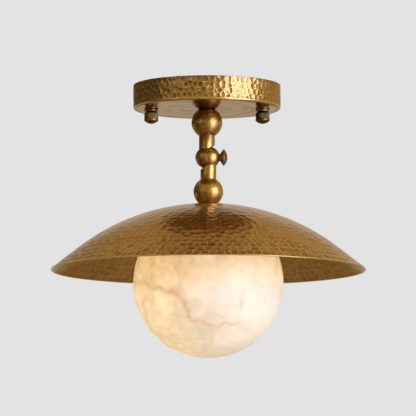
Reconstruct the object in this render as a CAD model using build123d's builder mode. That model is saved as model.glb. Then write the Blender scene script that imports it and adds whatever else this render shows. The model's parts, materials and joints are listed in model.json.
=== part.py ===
from build123d import *
import os
from math import asin, cos, sin, sqrt

os.makedirs("parts", exist_ok=True)

# Flush mount ceiling light. A hammered brass pan hides the ceiling bracket, and a short stem of two
# turned balls with a split-ball knuckle between them carries a hammered brass shade and an alabaster globe.
# Millimetres, +Z up, X through the two finger nuts, origin where the pan's axis meets the ceiling.

# General gaps
thread_gap = 0.05       # radial play of a plain cylinder that stands for a thread in its hole
turning_gap = 0.1       # between flat faces that turn on each other
hole_gap = 0.3          # radial play of a rod in a plain hole

# Ceiling bracket: a channel-shaped steel strap
strap_end = 8.0         # of strap past each stud
strap_width = 20.0
strap_gauge = 2.0
strap_height = 6.0      # over its two turned-down edges
strap_corner_r = 3.0
wire_hole_d = 12.0
narrow_box_spacing = 69.85
wide_box_spacing = 88.9
box_screw_slot_width = 5.0

# Studs that the pan hangs on, with the nuts that lock them to the strap
stud_spacing = 108.0
stud_d = 4.0
stud_top_recess = 0.2
stud_grip = 7.2         # length of stud inside a finger nut
lock_nut_flats = 7.0
lock_nut_height = 3.2

# Earth screw on the strap
earth_screw_x = -22.0
earth_screw_d = 4.0
earth_head_flats = 8.0
earth_head_height = 3.0
earth_flange_d = 10.0
earth_flange_height = 1.0
earth_slot_width = 1.2
earth_slot_depth = 1.4

# Canopy pan
canopy_d = 143.0
canopy_height = 23.2
canopy_wall = 1.4
canopy_edge_r = 1.8

# Knurled finger nuts and the turned washers above them
nut_washer_d = 13.5
nut_washer_height = 2.0
nut_washer_round = 0.6
nut_d = 13.8
nut_neck_d = 10.5
nut_neck_height = 1.3
nut_knurl_height = 5.5
nut_bead_height = 2.8
nut_dome_height = 2.4
nut_shoulder = 0.5
nut_bore_spare = 1.0    # depth of the blind hole past the stud's end
knurl_count = 36
knurl_depth = 0.35

# Threaded pipe and what it clamps
pipe_d = 9.7
pipe_bore_d = 6.8
pipe_grip = 8.5         # length of pipe screwed into a knuckle half
pipe_nut_flats = 15.0
pipe_nut_height = 3.5
pipe_washer_d = 17.0
pipe_washer_height = 1.2
pipe_washer_slot = 2.0
pipe_above_nut = 4.0

# Turned balls, each with two flats as wide as the necks
upper_ball_d = 30.0
lower_ball_d = 28.8
neck_d = 15.3

# Split-ball knuckle: two like halves, one the other turned half round
neck_length = 21.3      # from the pivot to the end of a neck
neck_offset = 0.7       # of a neck's axis from the seam, towards its own half
knuckle_d = 21.2
knuckle_offset = 1.3    # of a half ball's centre from the seam
seam_gap = 0.5
swing_gap = 0.35        # between a half ball and the hollow it turns in
relief_start = 7.7      # height of the slanted relief at the seam
relief_rise = 0.62      # of the slanted relief, over its run
wire_bore_d = 8.8
wire_bore_floor = 5.0   # height above the pivot where the wire bore stops
wire_pocket_d = 15.6
wire_pocket_depth = 5.5
screw_boss_d = 7.0
friction_washer_d = 20.4
friction_washer_bore_d = 16.2

# Thumb screw that clamps the knuckle
clamp_d = 4.0
clamp_reach = 8.0       # of the shank past the seam
clamp_hole_spare = 0.8
clamp_stem_d = 6.8
clamp_spot_d = 7.4
clamp_stem_length = 0.9
clamp_flare_r = 1.5
clamp_head_d = 16.5
clamp_rim_at = 15.7     # of the head's widest place from the seam
clamp_rim_width = 0.5
clamp_dome_height = 3.4
clamp_tip_chamfer = 0.5

# Shade: a crowned sheet with a straight lip
shade_d = 305.0
shade_crown_r = 205.0
shade_lip_start_d = 252.0
shade_land_d = 20.0
shade_sheet = 1.2

# Fitter that the globe screws on to
fitter_boss_d = 19.0
fitter_boss_height = 2.2
fitter_flange_d = 57.0
fitter_flange_height = 2.5
fitter_thread_d = 52.5
fitter_skirt_wall = 2.75
fitter_skirt_height = 12.0

# Globe collar, cemented into the globe's mouth
collar_wall = 3.3
collar_neck_height = 4.1
collar_flange_d = 67.2
collar_flange_height = 2.0
collar_depth = 7.3
cement_gap = 0.4

# Alabaster globe
globe_d = 145.0
globe_wall = 6.0
globe_flat_d = 68.0

# Lamp holder
holder_neck_d = 15.0
holder_neck_height = 6.0
holder_cup_d = 24.0
holder_cup_wall = 1.2
holder_cup_height = 9.4
set_screw_d = 3.0
set_screw_length = 4.0
set_screw_slot_width = 0.6
set_screw_slot_depth = 1.0
porcelain_length = 22.0   # below the cup
porcelain_floor = 3.4
shell_gauge = 0.45
shell_length = 17.0
shell_mouth_recess = 1.0
contact_d = 6.0
contact_rim_height = 1.1
contact_dome_d = 4.0
contact_dome_height = 1.1
contact_air_gap = 2.2     # between the contact's rim and the shell's flange
wire_passage_d = 2.6
wire_passage_spacing = 9.4

# Bulb: small screw cap, moulded neck, frosted ball
bulb_cap_d = 11.9
bulb_cap_gauge = 0.3
bulb_button_d = 5.0
bulb_button_height = 1.6
bulb_button_round = 0.8
bulb_neck_d = 13.0
bulb_neck_mouth_d = 31.0
bulb_neck_height = 13.0
bulb_neck_wall = 1.2
bulb_ring_height = 2.5
bulb_ball_d = 45.0
bulb_ball_wall = 1.0
bulb_gap = 0.8          # between the holder's mouth and the bulb's neck
emitter_board_height = 1.2


# Levels worked out down the stack
def ball_half_height(diameter):
    """From a ball's centre to a flat as wide as a neck."""
    return sqrt((diameter / 2) ** 2 - (neck_d / 2) ** 2)


canopy_floor_z = -canopy_height
upper_ball_z = canopy_floor_z - ball_half_height(upper_ball_d)
pivot_z = upper_ball_z - ball_half_height(upper_ball_d) - neck_length
lower_ball_z = pivot_z - neck_length - ball_half_height(lower_ball_d)
shade_top_z = lower_ball_z - ball_half_height(lower_ball_d)
fitter_top_z = shade_top_z - shade_sheet
fitter_flange_z = fitter_top_z - fitter_boss_height
fitter_floor_z = fitter_flange_z - fitter_flange_height
holder_top_z = fitter_floor_z - pipe_washer_height - pipe_nut_height
cup_top_z = holder_top_z - holder_neck_height
cup_rim_z = cup_top_z - holder_cup_height
holder_mouth_z = cup_rim_z - porcelain_length
seam_x = neck_offset
head_x = 2 * neck_offset
clamp_seat = knuckle_offset + sqrt((knuckle_d / 2) ** 2 - (clamp_spot_d / 2) ** 2)
stud_x = stud_spacing / 2


def front_plane(x=0.0, z=0.0):
    """Upright plane for turned profiles: its X is across and its Y is up, from a point on the axis."""
    return Plane(origin=(x, 0, z), x_dir=(1, 0, 0), z_dir=(0, -1, 0))


def upright_axis(x=0.0):
    return Axis((x, 0, 0), (0, 0, 1))


# Strap. The slots take the screws of both usual ceiling boxes.
strap_length = stud_spacing + 2 * strap_end
slot_spacing = (narrow_box_spacing + wide_box_spacing) / 2
slot_length = (wide_box_spacing - narrow_box_spacing) / 2 + box_screw_slot_width

with BuildPart() as crossbar:
    with BuildSketch(Plane.XY):
        RectangleRounded(strap_length, strap_width, strap_corner_r)
    extrude(amount=-strap_height)
    with BuildSketch(Plane.XY.offset(-strap_gauge)):
        Rectangle(strap_length, strap_width - 2 * strap_gauge)
    extrude(amount=-strap_height, mode=Mode.SUBTRACT)
    with BuildSketch(Plane.XY):
        Circle(wire_hole_d / 2)
        with Locations((-slot_spacing / 2, 0), (slot_spacing / 2, 0)):
            SlotOverall(slot_length, box_screw_slot_width)
        with Locations((-stud_x, 0), (stud_x, 0)):
            Circle(stud_d / 2 + thread_gap)
        with Locations((earth_screw_x, 0)):
            Circle(earth_screw_d / 2 + thread_gap)
    extrude(amount=-strap_gauge, mode=Mode.SUBTRACT)
crossbar.part.label = "crossbar"
export_step(crossbar.part, "parts/crossbar.step")

# Studs, screwed down through the strap
stud_bottom_z = canopy_floor_z - nut_washer_height - stud_grip

with BuildPart() as mounting_studs:
    with BuildSketch(Plane.XY.offset(-stud_top_recess)):
        with Locations((-stud_x, 0), (stud_x, 0)):
            Circle(stud_d / 2)
    extrude(amount=stud_bottom_z + stud_top_recess)
mounting_studs.part.label = "mounting_studs"
export_step(mounting_studs.part, "parts/mounting_studs.step")

with BuildPart() as stud_lock_nuts:
    with BuildSketch(Plane.XY.offset(-strap_gauge)):
        with Locations((-stud_x, 0), (stud_x, 0)):
            RegularPolygon(lock_nut_flats / 2, 6, major_radius=False)
            Circle(stud_d / 2 + thread_gap, mode=Mode.SUBTRACT)
    extrude(amount=-lock_nut_height)
stud_lock_nuts.part.label = "stud_lock_nuts"
export_step(stud_lock_nuts.part, "parts/stud_lock_nuts.step")

# Earth screw: hexagon head on a flange, with a slot across it
earth_flange_z = -strap_gauge - earth_flange_height
earth_head_z = earth_flange_z - earth_head_height

with BuildPart() as earth_screw:
    with BuildSketch(Plane.XY.offset(-stud_top_recess)):
        with Locations((earth_screw_x, 0)):
            Circle(earth_screw_d / 2)
    extrude(amount=-strap_gauge + stud_top_recess)
    with BuildSketch(Plane.XY.offset(-strap_gauge)):
        with Locations((earth_screw_x, 0)):
            Circle(earth_flange_d / 2)
    extrude(amount=-earth_flange_height)
    with BuildSketch(Plane.XY.offset(earth_flange_z)):
        with Locations((earth_screw_x, 0)):
            RegularPolygon(earth_head_flats / 2, 6, major_radius=False)
    extrude(amount=-earth_head_height)
    with BuildSketch(Plane.XY.offset(earth_head_z)):
        with Locations((earth_screw_x, 0)):
            Rectangle(earth_flange_d, earth_slot_width)
    extrude(amount=earth_slot_depth, mode=Mode.SUBTRACT)
earth_screw.part.label = "earth_screw"
export_step(earth_screw.part, "parts/earth_screw.step")

# Canopy: a pan open to the ceiling, with one hole for the pipe and two for the studs
with BuildPart() as canopy:
    with BuildSketch(Plane.XY):
        Circle(canopy_d / 2)
    extrude(amount=-canopy_height)
    fillet(canopy.faces().sort_by(Axis.Z)[0].edges(), radius=canopy_edge_r)
    offset(amount=-canopy_wall, openings=canopy.faces().sort_by(Axis.Z)[-1])
    with BuildSketch(Plane.XY.offset(canopy_floor_z)):
        Circle(pipe_d / 2 + hole_gap)
        with Locations((-stud_x, 0), (stud_x, 0)):
            Circle(stud_d / 2 + hole_gap)
    extrude(amount=canopy_wall, mode=Mode.SUBTRACT)
canopy.part.label = "canopy"
export_step(canopy.part, "parts/canopy.step")

# Turned washers between the pan and the finger nuts
with BuildPart() as nut_washers:
    with BuildSketch(Plane.XY.offset(canopy_floor_z)):
        with Locations((-stud_x, 0), (stud_x, 0)):
            Circle(nut_washer_d / 2)
    extrude(amount=-nut_washer_height)
    fillet(nut_washers.edges().filter_by(GeomType.CIRCLE), radius=nut_washer_round)
    with BuildSketch(Plane.XY.offset(canopy_floor_z)):
        with Locations((-stud_x, 0), (stud_x, 0)):
            Circle(stud_d / 2 + hole_gap)
    extrude(amount=-nut_washer_height, mode=Mode.SUBTRACT)
nut_washers.part.label = "nut_washers"
export_step(nut_washers.part, "parts/nut_washers.step")

# Finger nuts: a narrow neck, a straight-knurled grip, a plain bead and a domed end
nut_top_z = canopy_floor_z - nut_washer_height - turning_gap
grip_top = -nut_neck_height
grip_bottom = grip_top - nut_knurl_height
bead_bottom = grip_bottom - nut_bead_height
dome_bottom = bead_bottom - nut_dome_height

for node, nut_x in (("finger_nut_left", -stud_x), ("finger_nut_right", stud_x)):
    with BuildPart() as finger_nut:
        with BuildSketch(front_plane(nut_x, nut_top_z)):
            with BuildLine():
                Polyline(
                    (0, dome_bottom),
                    (0, 0),
                    (nut_neck_d / 2, 0),
                    (nut_neck_d / 2, grip_top),
                    (nut_d / 2 - nut_shoulder, grip_top),
                    (nut_d / 2, grip_top - nut_shoulder),
                    (nut_d / 2, bead_bottom),
                )
                RadiusArc(
                    (nut_d / 2, bead_bottom),
                    (0, dome_bottom),
                    ((nut_d / 2) ** 2 + nut_dome_height**2) / (2 * nut_dome_height),
                )
            make_face()
        revolve(axis=upright_axis(nut_x))
        with BuildSketch(Plane.XY.offset(nut_top_z + grip_top)):
            with Locations((nut_x, 0)):
                with PolarLocations(nut_d / 2, knurl_count):
                    Rectangle(knurl_depth * sqrt(2), knurl_depth * sqrt(2), rotation=45)
        extrude(amount=-nut_knurl_height, mode=Mode.SUBTRACT)
        with BuildSketch(Plane.XY.offset(nut_top_z)):
            with Locations((nut_x, 0)):
                Circle(stud_d / 2 + thread_gap)
        extrude(amount=-stud_grip - nut_bore_spare, mode=Mode.SUBTRACT)
    finger_nut.part.label = node
    export_step(finger_nut.part, f"parts/{node}.step")

# Threaded pipes: one down through the canopy and the upper ball, one through the lower ball and the shade
canopy_inside_z = canopy_floor_z + canopy_wall
pipe_top_z = canopy_inside_z + pipe_washer_height + pipe_nut_height + pipe_above_nut
upper_neck_end_z = upper_ball_z - ball_half_height(upper_ball_d)
lower_neck_end_z = lower_ball_z + ball_half_height(lower_ball_d)

for node, pipe_x, top_z, bottom_z in (
    ("canopy_pipe", 0.0, pipe_top_z, upper_neck_end_z - pipe_grip),
    ("shade_pipe", head_x, lower_neck_end_z + pipe_grip, cup_top_z),
):
    with BuildPart() as pipe:
        with BuildSketch(Plane.XY.offset(bottom_z)):
            with Locations((pipe_x, 0)):
                Circle(pipe_d / 2)
                Circle(pipe_bore_d / 2, mode=Mode.SUBTRACT)
        extrude(amount=top_z - bottom_z)
    pipe.part.label = node
    export_step(pipe.part, f"parts/{node}.step")

# Split lock washers and hexagon nuts on the pipes
for node, washer_x, seat_z in (
    ("canopy_lock_washer", 0.0, canopy_inside_z),
    ("shade_lock_washer", head_x, fitter_floor_z - pipe_washer_height),
):
    with BuildPart() as lock_washer:
        with BuildSketch(Plane.XY.offset(seat_z)):
            with Locations((washer_x, 0)):
                Circle(pipe_washer_d / 2)
                Circle(pipe_d / 2 + hole_gap, mode=Mode.SUBTRACT)
            with Locations((washer_x, pipe_washer_d / 2)):
                Rectangle(pipe_washer_slot, pipe_washer_d, mode=Mode.SUBTRACT)
        extrude(amount=pipe_washer_height)
    lock_washer.part.label = node
    export_step(lock_washer.part, f"parts/{node}.step")

for node, nut_x, seat_z in (
    ("canopy_pipe_nut", 0.0, canopy_inside_z + pipe_washer_height),
    ("shade_pipe_nut", head_x, holder_top_z),
):
    with BuildPart() as pipe_nut:
        with BuildSketch(Plane.XY.offset(seat_z)):
            with Locations((nut_x, 0)):
                RegularPolygon(pipe_nut_flats / 2, 6, major_radius=False)
                Circle(pipe_d / 2 + thread_gap, mode=Mode.SUBTRACT)
        extrude(amount=pipe_nut_height)
    pipe_nut.part.label = node
    export_step(pipe_nut.part, f"parts/{node}.step")

# Turned balls, bored through for the pipes
for node, ball_d, ball_x, ball_z in (
    ("upper_ball", upper_ball_d, 0.0, upper_ball_z),
    ("lower_ball", lower_ball_d, head_x, lower_ball_z),
):
    flat_height = ball_half_height(ball_d)
    with BuildPart() as ball:
        with BuildSketch(front_plane(ball_x, ball_z)):
            with BuildLine():
                Polyline(
                    (neck_d / 2, flat_height),
                    (pipe_d / 2 + thread_gap, flat_height),
                    (pipe_d / 2 + thread_gap, -flat_height),
                    (neck_d / 2, -flat_height),
                )
                ThreePointArc((neck_d / 2, -flat_height), (ball_d / 2, 0), (neck_d / 2, flat_height))
            make_face()
        revolve(axis=upright_axis(ball_x))
    ball.part.label = node
    export_step(ball.part, f"parts/{node}.step")

# Knuckle halves. Each is a neck with half a ball at its end, beside the seam. The other half's ball turns
# in a hollow under the neck, whose free side is cut on a slant so that the two necks can fold together.
# A pocket round the screw's boss lets the wires cross from one half to the other.
half_ball_r = knuckle_d / 2
hollow_r = half_ball_r + swing_gap
seam_face = -seam_gap / 2
across = Axis((seam_x, 0, pivot_z), (1, 0, 0))

for node, side in (("upper_knuckle", 1), ("lower_knuckle", -1)):
    half = Plane(origin=(seam_x, 0, pivot_z), x_dir=(side, 0, 0), z_dir=(0, -1, 0))
    neck_axis = upright_axis(seam_x - side * neck_offset)
    with BuildPart() as knuckle:
        with BuildSketch(half):
            with BuildLine():
                Polyline(
                    (-knuckle_offset - half_ball_r, 0),
                    (seam_face, 0),
                    (seam_face, half_ball_r),
                    (-knuckle_offset, half_ball_r),
                )
                RadiusArc((-knuckle_offset, half_ball_r), (-knuckle_offset - half_ball_r, 0), -half_ball_r)
            make_face()
        revolve(axis=across)
        with BuildSketch(half):
            with Locations((-neck_offset, 0)):
                Rectangle(neck_d / 2, neck_length, align=(Align.MIN, Align.MIN))
        revolve(axis=neck_axis)
        with BuildSketch(half):
            with Locations((seam_face, 0)):
                Rectangle(neck_d, hollow_r, align=(Align.MIN, Align.MIN))
        revolve(axis=across, mode=Mode.SUBTRACT)
        with BuildSketch(half):
            Polygon(
                (seam_face, 0),
                (neck_d, 0),
                (neck_d, relief_start + relief_rise * (neck_d - seam_face)),
                (seam_face, relief_start),
                align=None,
            )
        extrude(amount=neck_d, both=True, mode=Mode.SUBTRACT)
        with BuildSketch(half):
            with Locations((seam_face, screw_boss_d / 2)):
                Rectangle(wire_pocket_depth, (wire_pocket_d - screw_boss_d) / 2, align=(Align.MAX, Align.MIN))
        revolve(axis=across, mode=Mode.SUBTRACT)
        with BuildSketch(half):
            with Locations((-neck_offset, wire_bore_floor)):
                Rectangle(wire_bore_d / 2, neck_length - wire_bore_floor, align=(Align.MIN, Align.MIN))
            with Locations((-neck_offset, neck_length)):
                Rectangle(pipe_d / 2 + thread_gap, pipe_grip + hole_gap, align=(Align.MIN, Align.MAX))
        revolve(axis=neck_axis, mode=Mode.SUBTRACT)
        with BuildSketch(half):
            if node == "upper_knuckle":
                with Locations((seam_face, 0)):
                    Rectangle(
                        clamp_reach + clamp_hole_spare, clamp_d / 2 + thread_gap, align=(Align.MAX, Align.MIN)
                    )
            else:
                with Locations((seam_face, 0)):
                    Rectangle(clamp_rim_at, clamp_d / 2 + thread_gap, align=(Align.MAX, Align.MIN))
                with Locations((-clamp_seat, 0)):
                    Rectangle(clamp_spot_d, clamp_spot_d / 2, align=(Align.MAX, Align.MIN))
        revolve(axis=across, mode=Mode.SUBTRACT)
    knuckle.part.label = node
    export_step(knuckle.part, f"parts/{node}.step")

# Friction washer: a thin fibre ring in the seam
with BuildPart() as friction_washer:
    with BuildSketch(Plane(origin=(seam_x + seam_face, 0, pivot_z), z_dir=(1, 0, 0))):
        Circle(friction_washer_d / 2)
        Circle(friction_washer_bore_d / 2, mode=Mode.SUBTRACT)
    extrude(amount=seam_gap - turning_gap)
friction_washer.part.label = "friction_washer"
export_step(friction_washer.part, "parts/friction_washer.step")

# Thumb screw: a low domed head on a trumpet-shaped back, a stem that bears on the lower half's spot face,
# and a shank that screws into the upper half
stem_start = clamp_seat + turning_gap
stem_end = stem_start + clamp_stem_length
rim_back = clamp_rim_at - clamp_rim_width
head_r = clamp_head_d / 2
dome_r = (head_r**2 + clamp_dome_height**2) / (2 * clamp_dome_height)
dome_end = clamp_rim_at + clamp_dome_height

with BuildPart() as clamp_screw:
    with BuildSketch(front_plane(seam_x, pivot_z)) as clamp_profile:
        with BuildLine():
            Polyline(
                (dome_end, 0),
                (-clamp_reach, 0),
                (-clamp_reach, clamp_d / 2 - clamp_tip_chamfer),
                (-clamp_reach + clamp_tip_chamfer, clamp_d / 2),
                (stem_start, clamp_d / 2),
                (stem_start, clamp_stem_d / 2),
                (stem_end, clamp_stem_d / 2),
                (rim_back, head_r - clamp_rim_width / 2),
                (rim_back + clamp_rim_width / 2, head_r),
                (clamp_rim_at, head_r),
            )
            RadiusArc((clamp_rim_at, head_r), (dome_end, 0), dome_r)
        make_face()
        stem_foot = clamp_profile.vertices().sort_by_distance((stem_end, clamp_stem_d / 2))[0]
        fillet(stem_foot, radius=clamp_flare_r)
    revolve(axis=across)
clamp_screw.part.label = "clamp_screw"
export_step(clamp_screw.part, "parts/clamp_screw.step")

# Shade: one spun sheet. A small flat land takes the ball, the crown is part of a sphere, and the lip runs
# straight on from it to the rim.
land_r = shade_land_d / 2
crown_centre_z = shade_top_z - sqrt(shade_crown_r**2 - land_r**2)
lip_angle = asin(shade_lip_start_d / 2 / shade_crown_r)
lip_length = (shade_d - shade_lip_start_d) / 2 / cos(lip_angle)
out_of_sheet = Vector(sin(lip_angle), cos(lip_angle))
down_the_lip = Vector(cos(lip_angle), -sin(lip_angle))
crown_centre = Vector(0, crown_centre_z)
lip_start = crown_centre + out_of_sheet * shade_crown_r
rim_outside = lip_start + down_the_lip * lip_length
rim_inside = rim_outside - out_of_sheet * shade_sheet
lip_start_inside = lip_start - out_of_sheet * shade_sheet
inner_crown_r = shade_crown_r - shade_sheet
inner_land_r = sqrt(inner_crown_r**2 - (fitter_top_z - crown_centre_z) ** 2)

with BuildPart() as shade:
    with BuildSketch(front_plane(head_x)):
        with BuildLine():
            Line((pipe_d / 2 + hole_gap, shade_top_z), (land_r, shade_top_z))
            RadiusArc((land_r, shade_top_z), lip_start, shade_crown_r)
            Polyline(lip_start, rim_outside, rim_inside, lip_start_inside)
            RadiusArc(lip_start_inside, (inner_land_r, fitter_top_z), -inner_crown_r)
            Polyline(
                (inner_land_r, fitter_top_z),
                (pipe_d / 2 + hole_gap, fitter_top_z),
                (pipe_d / 2 + hole_gap, shade_top_z),
            )
        make_face()
    revolve(axis=upright_axis(head_x))
shade.part.label = "shade"
export_step(shade.part, "parts/shade.step")

# Globe fitter: a turned brass cap clamped under the shade, with a threaded skirt
skirt_r = fitter_thread_d / 2

with BuildPart() as globe_fitter:
    with BuildSketch(front_plane(head_x, fitter_floor_z)):
        with BuildLine():
            Polyline(
                (pipe_d / 2 + hole_gap, 0),
                (pipe_d / 2 + hole_gap, fitter_flange_height + fitter_boss_height),
                (fitter_boss_d / 2, fitter_flange_height + fitter_boss_height),
                (fitter_boss_d / 2, fitter_flange_height),
                (fitter_flange_d / 2, fitter_flange_height),
                (fitter_flange_d / 2, 0),
                (skirt_r, 0),
                (skirt_r, -fitter_skirt_height),
                (skirt_r - fitter_skirt_wall, -fitter_skirt_height),
                (skirt_r - fitter_skirt_wall, 0),
                (pipe_d / 2 + hole_gap, 0),
            )
        make_face()
    revolve(axis=upright_axis(head_x))
globe_fitter.part.label = "globe_fitter"
export_step(globe_fitter.part, "parts/globe_fitter.step")

# Globe collar: screws on to the fitter and carries the globe under its flange
collar_bore_r = skirt_r + thread_gap
collar_r = collar_bore_r + collar_wall
collar_top_z = fitter_floor_z - turning_gap
collar_flange_z = collar_top_z - collar_neck_height
globe_flat_z = collar_flange_z - collar_flange_height

with BuildPart() as globe_collar:
    with BuildSketch(front_plane(head_x, globe_flat_z)):
        with BuildLine():
            Polyline(
                (collar_bore_r, -collar_depth),
                (collar_bore_r, collar_flange_height + collar_neck_height),
                (collar_r, collar_flange_height + collar_neck_height),
                (collar_r, collar_flange_height),
                (collar_flange_d / 2, collar_flange_height),
                (collar_flange_d / 2, 0),
                (collar_r, 0),
                (collar_r, -collar_depth),
                (collar_bore_r, -collar_depth),
            )
        make_face()
    revolve(axis=upright_axis(head_x))
globe_collar.part.label = "globe_collar"
export_step(globe_collar.part, "parts/globe_collar.step")

# Globe: turned alabaster, ground flat round its mouth
globe_r = globe_d / 2
globe_inner_r = globe_r - globe_wall
mouth_r = collar_r + cement_gap
globe_flat_height = sqrt(globe_r**2 - (globe_flat_d / 2) ** 2)
globe_z = globe_flat_z - globe_flat_height
mouth_floor = sqrt(globe_inner_r**2 - mouth_r**2)

with BuildPart() as globe:
    with BuildSketch(front_plane(head_x, globe_z)):
        with BuildLine():
            Line((0, -globe_inner_r), (0, -globe_r))
            ThreePointArc((0, -globe_r), (globe_r, 0), (globe_flat_d / 2, globe_flat_height))
            Polyline(
                (globe_flat_d / 2, globe_flat_height),
                (mouth_r, globe_flat_height),
                (mouth_r, mouth_floor),
            )
            ThreePointArc((mouth_r, mouth_floor), (globe_inner_r, 0), (0, -globe_inner_r))
        make_face()
    revolve(axis=upright_axis(head_x))
globe.part.label = "globe"
export_step(globe.part, "parts/globe.step")

# Lamp holder cap: a threaded neck on the pipe, locked by a set screw, over a cup for the porcelain
cup_r = holder_cup_d / 2

with BuildPart() as holder_cap:
    with BuildSketch(front_plane(head_x, cup_top_z)):
        with BuildLine():
            Polyline(
                (pipe_d / 2 + thread_gap, -holder_cup_wall),
                (pipe_d / 2 + thread_gap, holder_neck_height),
                (holder_neck_d / 2, holder_neck_height),
                (holder_neck_d / 2, 0),
                (cup_r, 0),
                (cup_r, -holder_cup_height),
                (cup_r - holder_cup_wall, -holder_cup_height),
                (cup_r - holder_cup_wall, -holder_cup_wall),
                (pipe_d / 2 + thread_gap, -holder_cup_wall),
            )
        make_face()
    revolve(axis=upright_axis(head_x))
    with BuildSketch(Plane(origin=(head_x, 0, cup_top_z + holder_neck_height / 2), z_dir=(0, -1, 0))):
        Circle(set_screw_d / 2 + thread_gap)
    extrude(amount=holder_cup_d, mode=Mode.SUBTRACT)
holder_cap.part.label = "holder_cap"
export_step(holder_cap.part, "parts/holder_cap.step")

set_screw_start = pipe_d / 2 + thread_gap

with BuildPart() as holder_set_screw:
    with BuildSketch(
        Plane(origin=(head_x, -set_screw_start, cup_top_z + holder_neck_height / 2), z_dir=(0, -1, 0))
    ):
        Circle(set_screw_d / 2)
    extrude(amount=set_screw_length)
    with BuildSketch(
        Plane(
            origin=(head_x, -set_screw_start - set_screw_length, cup_top_z + holder_neck_height / 2),
            z_dir=(0, -1, 0),
        )
    ):
        Rectangle(set_screw_d, set_screw_slot_width)
    extrude(amount=-set_screw_slot_depth, mode=Mode.SUBTRACT)
holder_set_screw.part.label = "holder_set_screw"
export_step(holder_set_screw.part, "parts/holder_set_screw.step")

# Porcelain: a thick tube with a floor that the wires pass, shouldered under the cup's rim
shell_r = bulb_cap_d / 2 + thread_gap
pocket_r = shell_r + shell_gauge + thread_gap
spigot_height = holder_cup_height - holder_cup_wall
contact_height = contact_rim_height + contact_dome_height
porcelain_floor_z = holder_mouth_z + shell_mouth_recess + shell_length + contact_height

with BuildPart() as holder_porcelain:
    with BuildSketch(Plane.XY.offset(holder_mouth_z)):
        with Locations((head_x, 0)):
            Circle(cup_r)
    extrude(amount=porcelain_length)
    with BuildSketch(Plane.XY.offset(cup_rim_z)):
        with Locations((head_x, 0)):
            Circle(cup_r - holder_cup_wall - thread_gap)
    extrude(amount=spigot_height - hole_gap)
    with BuildSketch(Plane.XY.offset(holder_mouth_z)):
        with Locations((head_x, 0)):
            Circle(pocket_r)
    extrude(amount=porcelain_floor_z - holder_mouth_z, mode=Mode.SUBTRACT)
    with BuildSketch(Plane.XY.offset(porcelain_floor_z + porcelain_floor)):
        with Locations((head_x, 0)):
            Circle(pocket_r)
    extrude(amount=spigot_height + porcelain_length, mode=Mode.SUBTRACT)
    with BuildSketch(Plane.XY.offset(porcelain_floor_z)):
        with Locations((head_x - wire_passage_spacing / 2, 0), (head_x + wire_passage_spacing / 2, 0)):
            Circle(wire_passage_d / 2)
    extrude(amount=porcelain_floor, mode=Mode.SUBTRACT)
holder_porcelain.part.label = "holder_porcelain"
export_step(holder_porcelain.part, "parts/holder_porcelain.step")

# Screw shell: a thin sleeve with an inward flange at its upper end
shell_bottom_z = holder_mouth_z + shell_mouth_recess
shell_flange_bore_r = contact_d / 2 + contact_air_gap

with BuildPart() as holder_shell:
    with BuildSketch(front_plane(head_x, shell_bottom_z)):
        with BuildLine():
            Polyline(
                (shell_r, 0),
                (shell_r + shell_gauge, 0),
                (shell_r + shell_gauge, shell_length),
                (shell_flange_bore_r, shell_length),
                (shell_flange_bore_r, shell_length - shell_gauge),
                (shell_r, shell_length - shell_gauge),
                (shell_r, 0),
            )
        make_face()
    revolve(axis=upright_axis(head_x))
holder_shell.part.label = "holder_shell"
export_step(holder_shell.part, "parts/holder_shell.step")

# Centre contact: a rivet head with a raised dome
with BuildPart() as holder_contact:
    with BuildSketch(Plane.XY.offset(porcelain_floor_z)):
        with Locations((head_x, 0)):
            Circle(contact_d / 2)
    extrude(amount=-contact_rim_height)
    with BuildSketch(Plane.XY.offset(porcelain_floor_z - contact_rim_height)):
        with Locations((head_x, 0)):
            Circle(contact_dome_d / 2)
    extrude(amount=-contact_dome_height)
holder_contact.part.label = "holder_contact"
export_step(holder_contact.part, "parts/holder_contact.step")

# Bulb cap and its centre button
button_top_z = porcelain_floor_z - contact_height - turning_gap
bulb_cap_top_z = button_top_z - bulb_button_height
bulb_neck_top_z = holder_mouth_z - bulb_gap
bulb_cap_length = bulb_cap_top_z - bulb_neck_top_z
cap_r = bulb_cap_d / 2
button_r = bulb_button_d / 2

with BuildPart() as bulb_cap:
    with BuildSketch(front_plane(head_x, bulb_neck_top_z)):
        with BuildLine():
            Polyline(
                (cap_r, 0),
                (cap_r, bulb_cap_length - bulb_button_height),
                (button_r, bulb_cap_length),
                (button_r, bulb_cap_length - bulb_cap_gauge),
                (cap_r - bulb_cap_gauge, bulb_cap_length - bulb_button_height - bulb_cap_gauge),
                (cap_r - bulb_cap_gauge, 0),
                (cap_r, 0),
            )
        make_face()
    revolve(axis=upright_axis(head_x))
bulb_cap.part.label = "bulb_cap"
export_step(bulb_cap.part, "parts/bulb_cap.step")

with BuildPart() as bulb_button:
    with BuildSketch(Plane.XY.offset(button_top_z)):
        with Locations((head_x, 0)):
            Circle(button_r)
    extrude(amount=-bulb_button_height)
    fillet(bulb_button.faces().sort_by(Axis.Z)[-1].edges(), radius=bulb_button_round)
bulb_button.part.label = "bulb_button"
export_step(bulb_button.part, "parts/bulb_button.step")

# Bulb neck: a moulded cone that ends in a short ring
neck_top_r = bulb_neck_d / 2
neck_mouth_r = bulb_neck_mouth_d / 2
bulb_mouth_z = bulb_neck_top_z - bulb_neck_height

with BuildPart() as bulb_neck:
    with BuildSketch(front_plane(head_x, bulb_mouth_z)):
        with BuildLine():
            Polyline(
                (neck_mouth_r, 0),
                (neck_mouth_r, bulb_ring_height),
                (neck_top_r, bulb_neck_height),
                (neck_top_r - bulb_neck_wall, bulb_neck_height),
                (neck_mouth_r - bulb_neck_wall, bulb_ring_height),
                (neck_mouth_r - bulb_neck_wall, 0),
                (neck_mouth_r, 0),
            )
        make_face()
    revolve(axis=upright_axis(head_x))
bulb_neck.part.label = "bulb_neck"
export_step(bulb_neck.part, "parts/bulb_neck.step")

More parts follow.
